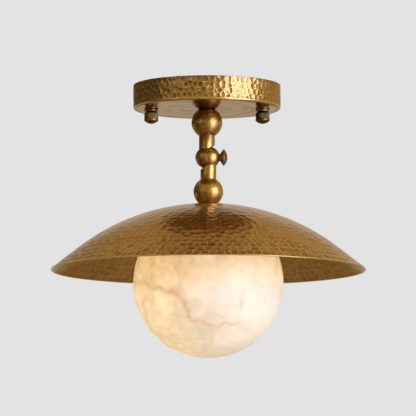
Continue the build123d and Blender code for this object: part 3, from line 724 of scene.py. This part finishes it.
# Balls: turned from brass bar, lightly planished and antiqued brown in patches over gold. Each has flats
# above and below, where the pan, the necks and the shade meet it, and a bore for the pipe.
neck_r = 7.65 * mm
knuckle_r = 10.6 * mm
ball_bore_r = 4.9 * mm
ball_rings = 58
ball_points = 128
planished_from_rim = 0.5 * mm
pivot = Vector(next(j["pos_m"] for j in frame["joints"] if j["name"] == "head_tilt"))


def planished(seed, pitch, cap, low, high, seams):
    """A shape for turned(): faint hammer marks that catch the light without a clear edge."""
    blows = hammered(seed, pitch, cap, low, high, jitter=0.42)

    def shape(along, radius, angle, height):
        depth = blows(along, radius, angle, height)[0]
        # Painted shade beside the flats, where the pan, the necks and the shade meet the ball.
        return depth, {"painted_seam_shade": painted_seam_shade(radius, height, *seams)}
    return shape


def from_neck_ring(place):
    """The way to where a neck meets the knuckle's ball, for a place in the frame."""
    radius = vector("LENGTH", vector("MULTIPLY", place, (1, 1, 0)), output=1) - neck_r
    height = place.axis(2) - pivot.z
    height = height.math("ABSOLUTE", height) - sqrt(knuckle_r**2 - neck_r**2)
    return radius.math("SQRT", radius * radius + height * height)


def aged_brass(name, painted_corner_shade):
    """Antiqued brass: brown patina in patches of many sizes over warm gold, softly polished.

    Its second argument takes the tree's start and the place, and gives how dark the painted shade is in the
    corners."""
    material, start, place = new_finish(name)
    broad = noise(place, 9 * mm, 3.0)
    fine = noise(place, 1.7 * mm, 3.0)
    patches = step(broad * 0.5 + fine * 0.5, 0.4, 0.62)
    gold = mix(patches, colour(206, 156, 44), colour(146, 98, 18))
    gold = mix(step(noise(place, 0.9 * mm, 2.0), 0.6, 0.75) * 0.35, gold, colour(92, 60, 16))
    lacquered(start, {
        # Near-black painted shade in the corners.
        "Base Color": mix(painted_corner_shade(start, place), gold, colour(36, 24, 12)),
        "Roughness": 0.35 + 0.1 * patches + 0.08 * (fine - 0.5),
        "Coat Roughness": 0.22,
        "Coat IOR": 2.45,
        "Normal": bump(fine + 0.4 * noise(place, 0.6 * mm, 2.0), 0.04 * mm),
    })
    return material


stem_brass = aged_brass("stem_brass", lambda start, place: kept(start, "painted_seam_shade"))
# Painted shade darkens the brass where each neck meets the knuckle's ball.
knuckle_brass = aged_brass(
    "knuckle_brass", lambda start, place: 0.95 * (1 - step(from_neck_ring(place), 0.5 * mm, 1.6 * mm))
)
for seed, node, body in ((11, "upper_ball", "ceiling_mount"), (12, "lower_ball", "lamp_head")):
    low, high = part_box(node)
    centre = (low + high) / 2
    ball_r = (high.x - low.x) / 2
    flat = (high.z - low.z) / 2
    reach = asin(flat / ball_r)
    ball_outline = [(ball_bore_r, -flat)]
    ball_outline += [(ball_r * cos(t), ball_r * sin(t)) for t in np.linspace(-reach, reach, ball_rings)]
    ball_outline += [(ball_bore_r, flat)]
    rims = [(ball_r * cos(reach), flat), (ball_r * cos(reach), -flat)]
    first = neck_r - ball_bore_r + planished_from_rim
    last = neck_r - ball_bore_r + 2 * reach * ball_r - planished_from_rim
    marks = planished(seed, pitch=3.8 * mm, cap=45 * mm, low=first, high=last, seams=rims)
    ball = turned(f"{node}_planished", ball_outline, ball_points, centre, marks, closed=True)
    dress(ball, stem_brass)
    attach(ball, body)
    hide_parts(node)


# Knuckle: two brass halves, each a neck and half a ball cut from one bar, with a fibre washer in the seam.
# Their edges are broken with a file.
def filed_copy(name, node, width):
    """A copy of a CAD node whose sharp edges are rounded off."""
    copy = bpy.data.objects.new(name, frame["nodes"][node].data.copy())
    bpy.context.scene.collection.objects.link(copy)
    welded = bmesh.new()
    welded.from_mesh(copy.data)
    bmesh.ops.remove_doubles(welded, verts=welded.verts, dist=0.001 * mm)
    welded.to_mesh(copy.data)
    welded.free()
    copy.data.shade_smooth()
    round_off = copy.modifiers.new("filed edges", "BEVEL")
    round_off.width = width
    round_off.segments = 2
    round_off.limit_method = "ANGLE"
    round_off.angle_limit = radians(35)
    round_off.harden_normals = True
    return copy


for node, body in (("upper_knuckle", "ceiling_mount"), ("lower_knuckle", "lamp_head")):
    half = filed_copy(f"{node}_filed", node, width=0.2 * mm)
    half.data.materials.clear()
    dress(half, knuckle_brass)
    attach(half, body)
    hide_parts(node)

fibre_low, fibre_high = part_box("friction_washer")
fibre_r = 10.4 * mm
fibre_width = 2.1 * mm
fibre_swell = 0.09 * mm
fibre_bore_r = (fibre_high.y - fibre_low.y) / 2 - fibre_width
fibre_near, fibre_far = fibre_low.x, fibre_high.x + fibre_swell
fibre_count = 96
fibre_centre = (0, 0, (fibre_low.z + fibre_high.z) / 2)
fibre_outline = [
    (fibre_bore_r, fibre_near), (fibre_r, fibre_near), (fibre_r, fibre_far), (fibre_bore_r, fibre_far)
]
fibre_washer = turned("fibre_washer", fibre_outline, fibre_count, fibre_centre, closed=True, lying=True)


def speckled(name, size, detail, colours, roughness, depth, others=()):
    """Pressed or moulded stuff that goes from one colour and roughness to another in specks."""
    material, start, place = new_finish(name)
    specks = noise(place, size, detail)
    surface(start, {
        "Base Color": mix(specks, *colours),
        "Roughness": roughness[0] + (roughness[1] - roughness[0]) * specks,
        "Normal": bump(specks, depth),
        **dict(others),
    })
    return material


fibre_colours = colour(34, 22, 10), colour(62, 42, 22)
fibre = speckled("fibre", 0.5 * mm, 4.0, fibre_colours, roughness=(0.65, 0.85), depth=0.05 * mm)
dress(fibre_washer, fibre)
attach(fibre_washer, "ceiling_mount")
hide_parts("friction_washer")


# Thumb screw: a mushroom head with a trumpet-shaped back, turned in one with its stem and shank. It clamps
# the knuckle's halves, so its rim and dome have been rubbed by fingers.
screw_low, screw_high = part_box("clamp_screw")
head_r = (screw_high.y - screw_low.y) / 2
head_end = screw_high.x - pivot.x
shank_end = screw_low.x - pivot.x
shank_r = 2.0 * mm
stem_r = 3.4 * mm
stem_start = 11.335 * mm
stem_end = stem_start + 0.6 * mm
head_rim_at = 15.7 * mm
head_rim_width = 1.7 * mm
tip_chamfer = 0.5 * mm
screw_pitch = 0.7 * mm
screw_thread_depth = 0.3 * mm
plain_shank = 3 * mm
shank_relief = 0.4 * mm
screw_count = 96
thread_rings = np.arange(shank_end + screw_pitch, stem_start - shank_relief, screw_pitch / rings_per_thread)
screw_outline = [(0, shank_end), (shank_r - tip_chamfer, shank_end), (shank_r, shank_end + tip_chamfer)]
screw_outline += [(shank_r, x) for x in thread_rings]
screw_outline += [(shank_r, stem_start), (stem_r, stem_start)]
flare_end = (head_r - head_rim_width, head_rim_at - head_rim_width)
screw_outline += corner((stem_r, stem_start), (stem_r, stem_end), flare_end, radius=1.2 * mm, parts=6)
screw_outline += corner((stem_r, stem_end), flare_end, (head_r, head_rim_at), radius=0.8 * mm, parts=6)
screw_outline += dome(head_end, head_rim_at - head_end, head_r, parts=15)[::-1]
clamp_thread = threaded(screw_pitch, screw_thread_depth, shank_end + tip_chamfer, stem_start - plain_shank)


def clamp_shape(along, radius, angle, height):
    depth, _ = clamp_thread(along, radius, angle, height)
    on_shank = (radius < shank_r + margin) & (height < stem_start)
    on_rim = radius > head_r - 0.8 * mm
    return np.where(on_shank, depth, 0), {
        "crest": rubbed_at(height, head_rim_at, width=0.6 * mm) * on_rim,
        "grip": np.where(height > head_rim_at, 0.35, 0.0),
    }


thumb_screw = turned("turned_thumb_screw", screw_outline, screw_count, pivot, clamp_shape, lying=True)
dress(thumb_screw, nut_brass)
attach(thumb_screw, "thumb_screw")
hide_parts("clamp_screw")


# Shade: one spun brass sheet, crowned, with a straight lip, and hammered in rings on both faces. Its rim is
# filed round and polished, and lacquer keeps it glossy.
shade_low, shade_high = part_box("shade")
shade_r = (shade_high.x - shade_low.x) / 2
shade_top = shade_high.z
shade_sheet = 1.2 * mm
crown_r = 205.0 * mm
lip_start_r = 126.0 * mm
land_r = 10.0 * mm
shade_contact_r = 7.0 * mm
rim_edge_r = 0.4 * mm
rim_share = 0.012
crown_centre = shade_top - sqrt(crown_r**2 - land_r**2)
lip_angle = asin(lip_start_r / crown_r)
inner_r = crown_r - shade_sheet
inner_land_r = sqrt(inner_r**2 - (shade_top - shade_sheet - crown_centre) ** 2)
lip_start = np.array((lip_start_r, crown_centre + crown_r * cos(lip_angle)))
rim = np.array((shade_r, lip_start[1] - (shade_r - lip_start_r) * np.tan(lip_angle)))
through = -np.array((sin(lip_angle), cos(lip_angle))) * shade_sheet
lip_start_inside = lip_start + through
rim_inside = rim + through


def arc(radius, first, last, gap, centre=0.0):
    """Points of a circle about a height on the axis, between two angles from straight up."""
    turns = np.linspace(first, last, ceil(abs(last - first) * radius / gap) + 1)
    return [(radius * sin(t), centre + radius * cos(t)) for t in turns]


outer_gap = 1.05 * mm
inner_gap = 1.6 * mm
contrast_fade = 22 * mm
short_of_rim = (rim - lip_start) * rim_share
inner_lip = [tuple(lip_start_inside), tuple(rim_inside - short_of_rim)]
outer_lip = [tuple(rim - short_of_rim), tuple(lip_start)]
inner_face = [(pipe_hole_r, shade_top - shade_sheet)]
inner_face += arc(inner_r, asin(inner_land_r / inner_r), lip_angle, inner_gap, crown_centre)
inner_face += divided(inner_lip, inner_gap, closed=False)[1:]
rim_edge = corner(lip_start_inside, rim_inside, rim, rim_edge_r, parts=3)
rim_edge += corner(rim_inside, rim, lip_start, rim_edge_r, parts=3)
outer_face = divided(outer_lip, outer_gap, closed=False)
outer_face += arc(crown_r, lip_angle, asin(land_r / crown_r), outer_gap, crown_centre)[1:]
outer_face += [(pipe_hole_r, shade_top)]
shade_outline = np.array(inner_face + rim_edge + outer_face)
shade_along = way_along(shade_outline)
inner_end = shade_along[len(inner_face) - 1]
outer_start = shade_along[len(inner_face) + len(rim_edge)]
rim_middle = (inner_end + outer_start) / 2
outer_end = shade_along[-1] - 6 * mm
inner_blows = hammered(seed=21, pitch=8.0 * mm, cap=40 * mm, start=8 * mm, end=inner_end, jitter=0.3)
outer_blows = hammered(
    seed=22, pitch=7.3 * mm, cap=23 * mm, start=outer_start, end=outer_end, jitter=0.28
)


def shade_shape(along, radius, angle, height):
    inside, inside_ridge, inside_patina_and_shade = inner_blows(along, radius, angle, height)
    outside, outside_ridge, outside_patina_and_shade = outer_blows(along, radius, angle, height)
    polished = stripe(along, rim_middle, width=1.2 * mm, strength=1.8)
    weight = np.interp(height, (rim[1], shade_top), (1, 0.5))
    return (inside + outside) * (1 - polished) * weight, {
        "contrast": np.interp(height, (rim[1], rim[1] + contrast_fade, shade_top), (1.25, 0.5, 0.2)),
        "inside": np.where(along < rim_middle, 1.0, 0.0),
        "from_ridge": inside_ridge + outside_ridge,
        "patina": inside_patina_and_shade + outside_patina_and_shade,
        "polished": polished,
        "lathe_finish": np.zeros(len(radius)),
        "streak_way": streak_way(radius, angle),
        # Painted shade where the lower ball sits on the shade.
        "painted_seam_shade": painted_seam_shade(radius, height, (shade_contact_r, shade_top)),
    }


outside_counts = points_round(shade_outline, gap=0.9 * mm)
inside_counts = points_round(shade_outline, gap=1.8 * mm)
shade_counts = np.where(np.arange(len(shade_outline)) < len(inner_face), inside_counts, outside_counts)
shade = turned("hammered_shade", shade_outline, shade_counts, (lamp_x, 0, 0), shade_shape, closed=True)
shade_brass = hammered_brass(
    "shade_brass", colour(138, 91, 44), colour(226, 174, 102), colour(246, 202, 130), 0.08
)
dress(shade, shade_brass)
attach(shade, "lamp_head")
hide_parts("shade")


# Globe fitter and collar: turned brass left bright. The fitter is a threaded cap that the pipe's nut clamps
# under the shade, and the collar is a ring cemented in the globe's mouth that screws on to it.
dress_nodes(raw_brass, "globe_fitter", "globe_collar")


# Lamp holder: a nickel-plated cap over a glazed porcelain tube, which holds the screw shell and the centre
# contact. It hangs from the shade's pipe inside the globe.
nickel = plated_metal("nickel_plate", colour(214, 208, 198), colour(176, 168, 156), 0.22)
dress_nodes(nickel, "holder_cap", "holder_shell")
dress_nodes(zinc, "holder_set_screw")
dress_nodes(raw_brass, "holder_contact")
material, start, place = new_finish("porcelain")
crawl = noise(place, 3 * mm, 3.0)
surface(start, {
    "Base Color": mix(step(crawl, 0.4, 0.7), colour(240, 238, 232), colour(228, 224, 214)),
    "Roughness": 0.16 + 0.1 * crawl,
    "Normal": bump(crawl, 0.05 * mm),
    "Coat Weight": 0.5,
})
dress_nodes(material, "holder_porcelain")


# Bulb: a small nickel-plated screw cap with a centre button, a neck moulded in white plastic with the
# emitter board in it, and a frosted ball over that, lit. It screws into the holder.
dress_nodes(nickel, "bulb_cap", "bulb_button")
white_colours = colour(238, 238, 234), colour(226, 226, 220)
white_moulding = speckled("white_moulding", 0.4 * mm, 2.0, white_colours, (0.35, 0.45), depth=0.01 * mm)
dress_nodes(white_moulding, "bulb_neck", "emitter_board")
frost_colours = colour(250, 244, 232), colour(242, 234, 218)
lit = {"Emission Color": colour(255, 226, 178), "Emission Strength": 1.0}
frosted = speckled("frosted_ball", 0.5 * mm, 2.0, frost_colours, (0.55, 0.7), 0.01 * mm, others=lit)
dress_nodes(frosted, "bulb_ball")


# Globe: turned and polished alabaster, lit from inside, with rust-brown veins and cloudy patches. The veins
# on the side that faces the room are listed one by one, and the rest wander over the back.
globe_r = (globe_high.x - globe_low.x) / 2
globe_centre = Vector((lamp_x, 0, globe_low.z + globe_r))
globe_wall = 6.0 * mm
globe_flat_r = 34.0 * mm
flat_rise = sqrt(globe_r**2 - globe_flat_r**2)
mouth_r = 30.0 * mm
globe_inner_r = globe_r - globe_wall
globe_outside = arc(globe_r, pi, asin(globe_flat_r / globe_r), gap=1.15 * mm)
globe_outside += [(mouth_r, flat_rise)]
globe_inside = arc(globe_inner_r, asin(mouth_r / globe_inner_r), pi, gap=4.0 * mm)
globe_outline = globe_outside + globe_inside
globe_counts = points_round(globe_outside, gap=1.2 * mm), points_round(globe_inside, gap=4.8 * mm)

# Each vein: how dark it is, and its way over the front in mm across and up from the globe's centre.
front_veins = (
    (0.55, [(-71, -2), (-65, -3), (-61, -3), (-59, -5), (-57, -7), (-55, -9), (-52, -10)]),
    (0.9, [(-52, -10), (-49, -9), (-46, -10), (-43, -12), (-41, -13), (-38, -14), (-35, -14), (-32, -14)]),
    (0.7, [(-32, -14), (-30, -17), (-28, -19), (-26, -21), (-24, -23), (-22, -25), (-23, -27), (-21, -30)]),
    (0.7, [(-21, -30), (-20, -32), (-19, -34), (-19, -39), (-17, -40), (-14, -42), (-12, -42), (-6, -41)]),
    (0.8, [(-6, -41), (-4, -43), (-1, -45), (1, -45), (4, -47), (6, -48), (9, -47), (13, -45), (15, -43)]),
    (0.4, [(-6, -41), (-5, -39), (-3, -37), (0, -35), (3, -35), (10, -37), (15, -39), (15, -43)]),
    (0.6, [(15, -43), (17, -43), (20, -44), (22, -45), (25, -44), (31, -43)]),
    (0.4, [(31, -43), (33, -45), (34, -47), (36, -49), (37, -51)]),
    (0.6, [(31, -29), (31, -26), (31, -20), (32, -17), (34, -14), (36, -11)]),
    (0.25, [(36, -11), (37, -9), (40, -8), (43, -6), (44, 0), (45, 5), (46, 12), (47, 19)]),
    (0.35, [(0, -33), (7, -31), (11, -30), (16, -28), (22, -28), (26, -28), (31, -29)]),
    (0.2, [(-55, -9), (-55, -6), (-54, -1), (-54, 4), (-54, 10), (-55, 20)]),
    (0.2, [(-57, -7), (-56, -16), (-55, -22), (-54, -27), (-52, -30), (-47, -33), (-43, -36), (-37, -39)]),
    (0.2, [(-37, -39), (-32, -41), (-28, -43), (-26, -47), (-25, -51), (-21, -55), (-14, -58), (-6, -58)]),
    (0.3, [(-30, -17), (-27, -10), (-26, -6), (-24, 0), (-22, 5), (-19, 10), (-15, 15)]),
    (0.3, [(4, -48), (5, -51), (4, -55), (3, -59), (0, -64), (-4, -67), (-6, -69)]),
    (0.2, [(-34, -61), (-27, -60), (-19, -63), (-11, -64), (-4, -67)]),
)
# Each cloud: how milky it is, or how grey-brown if negative, its place likewise, and its radius in mm.
front_clouds = (
    (-0.8, -32, -15, 7),
    (-0.5, 4, -41, 9),
    (-0.7, -6, -50, 11),
    (-0.5, 28, -50, 11),
    (-0.4, 41, 0, 9),
    (-0.4, -55, -2, 9),
    (-0.5, -20, -24, 6),
    (0.5, -8, -10, 12),
    (0.6, -17, -19, 5),
    (0.7, 42, -23, 20),
    (0.5, -45, -41, 15),
    (0.5, 13, -19, 15),
    (0.6, 24, -56, 11),
    (0.4, -15, -50, 7),
    (0.4, -42, -26, 12),
)
back_veins = 14
back_clouds = 16


def crackled(way, random, wobble=0.18):
    """A way over the globe with points added between its own, each pushed aside at random."""
    way = np.array(way, float)
    for _ in range(2):
        run = np.diff(way, axis=0)
        aside = random.uniform(-wobble, wobble, (len(run), 3)) * np.linalg.norm(run, axis=1)[:, None]
        way = np.insert(way, np.arange(1, len(way)), (way[1:] + way[:-1]) / 2 + aside, axis=0)
    return way / np.linalg.norm(way, axis=1)[:, None] * globe_r


def front_way(places):
    """The way over the front of the globe above those (across, up) places, in metres from its centre."""
    across, up = np.array(places).T * mm
    return np.column_stack((across, -np.sqrt(globe_r**2 - across**2 - up**2), up))


def wandering_way(random, steps=9, stride=0.22):
    """A way that starts somewhere on the back and strays as a natural crack does."""
    here = np.array((random.uniform(-1, 1), random.uniform(0.5, 1), random.uniform(-1, 0.6)))
    heading = random.normal(size=3)
    way = []
    for _ in range(steps):
        here = here / np.linalg.norm(here)
        way.append(here * globe_r)
        heading = heading + random.normal(size=3) * 0.6
        heading = heading - here * (heading @ here)
        heading = heading / np.linalg.norm(heading)
        here = here + heading * stride
    return way


def globe_shape(along, radius, angle, height):
    """No depth. Kept are the way to each point from the nearest vein, how dark that vein is, and how milky
    the stone is there."""
    random = np.random.default_rng(41)
    points = np.column_stack((radius * np.cos(angle), radius * np.sin(angle), height))
    vein_reach = 16 * mm
    far_from_veins = 20 * mm
    from_vein = np.full((len(points), 3), far_from_veins)
    darkness = np.zeros(len(points))
    ways = [(dark, front_way(places)) for dark, places in front_veins]
    ways += [(random.uniform(0.3, 0.9), wandering_way(random)) for _ in range(back_veins)]
    for dark, way in ways:
        crack = crackled(way, random)
        for begin, end in zip(crack[:-1], crack[1:]):
            near = np.flatnonzero(np.linalg.norm(points - begin, axis=1) < vein_reach)
            run = end - begin
            share = np.clip((points[near] - begin) @ run / (run @ run), 0, 1)
            away = points[near] - begin - share[:, None] * run
            closer = np.linalg.norm(away, axis=1) < np.linalg.norm(from_vein[near], axis=1)
            from_vein[near[closer]] = away[closer]
            darkness[near[closer]] = dark
    milk = np.zeros(len(points))
    clouds = [
        (strength, front_way([(across, up)])[0], size * mm) for strength, across, up, size in front_clouds
    ]
    clouds += [
        (random.uniform(-0.7, 0.7), wandering_way(random, 1)[0], random.uniform(8, 18) * mm)
        for _ in range(back_clouds)
    ]
    for strength, middle, size in clouds:
        milk += strength * np.exp(-((points - middle) ** 2).sum(axis=1) / size**2)
    return 0, {"from_vein": from_vein, "darkness": darkness, "milk": milk}


globe = turned("alabaster_globe", globe_outline, np.concatenate(globe_counts), globe_centre, globe_shape)

material, start, place = new_finish("alabaster")
side, up = [place.axis(number) - globe_centre[number] for number in (0, 2)]
stray_size = 2.2 * mm
stray_width = 3.4 * mm
ragged = place.node("TexNoise", {}, {"Vector": place, "Scale": 1 / stray_size, "Detail": 5.0}, output=1)
ragged = vector("MULTIPLY", vector("SUBTRACT", ragged, (0.5,) * 3), (stray_width,) * 3)
from_vein = vector("LENGTH", vector("ADD", kept(start, "from_vein", "Vector"), ragged), output=1)
darkness = kept(start, "darkness")
broad = noise(place, 30 * mm, 5.0)
curd = noise(place, 8 * mm, 6.0)
grain = noise(place, 1.5 * mm, 4.0)
milk = kept(start, "milk") + 2.4 * (curd - 0.5) + 1.6 * (broad - 0.5)
crack = (1 - step(from_vein, 0.1 * mm, 0.8 * mm)) * darkness * (0.4 + 0.6 * step(curd, 0.35, 0.6))
halo = (1 - step(from_vein, 0, 5 * mm)) * darkness * (0.3 + 0.7 * step(curd, 0.36, 0.6))
# The glow stands in for the bulb's light through the stone and is painted: dimmer to the right, where the key
# light brightens the stone, warm at the top as a painted reflection of the brass shade, and darker at the
# bottom as painted shade.
glow = mix(step(side, -50 * mm, 35 * mm), colour(228, 190, 136), colour(142, 118, 112))
glow = mix(step(up, -17 * mm, 7 * mm) * 0.7, glow, colour(216, 174, 112))
glow = mix((1 - step(up, -55 * mm, -17 * mm)) * 0.4, glow, colour(178, 142, 92))
glow = vector("MULTIPLY", glow, mix(step(milk, -1.2, 1.2), (0.78, 0.64, 0.54, 1), (1.22, 1.36, 1.46, 1)))
glow = vector("MULTIPLY", glow, mix(step(grain, 0.35, 0.65), (0.97, 0.95, 0.92, 1), (1.03, 1.05, 1.08, 1)))
glow = mix(halo * 0.6, glow, colour(172, 114, 44))
glow = mix(crack * 0.6, glow, colour(116, 70, 16))
surface(start, {
    "Base Color": mix(crack * 0.6 + halo * 0.45, colour(200, 192, 178), colour(166, 134, 88)),
    "Roughness": 0.46 + 0.12 * (curd - 0.5),
    "Emission Color": glow,
    "Emission Strength": 1.0,
    "Coat Weight": 0.12,
    "Coat Roughness": 0.45,
    "Normal": bump(curd, 0.02 * mm),
})
dress(globe, material)
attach(globe, "globe")
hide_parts("globe")
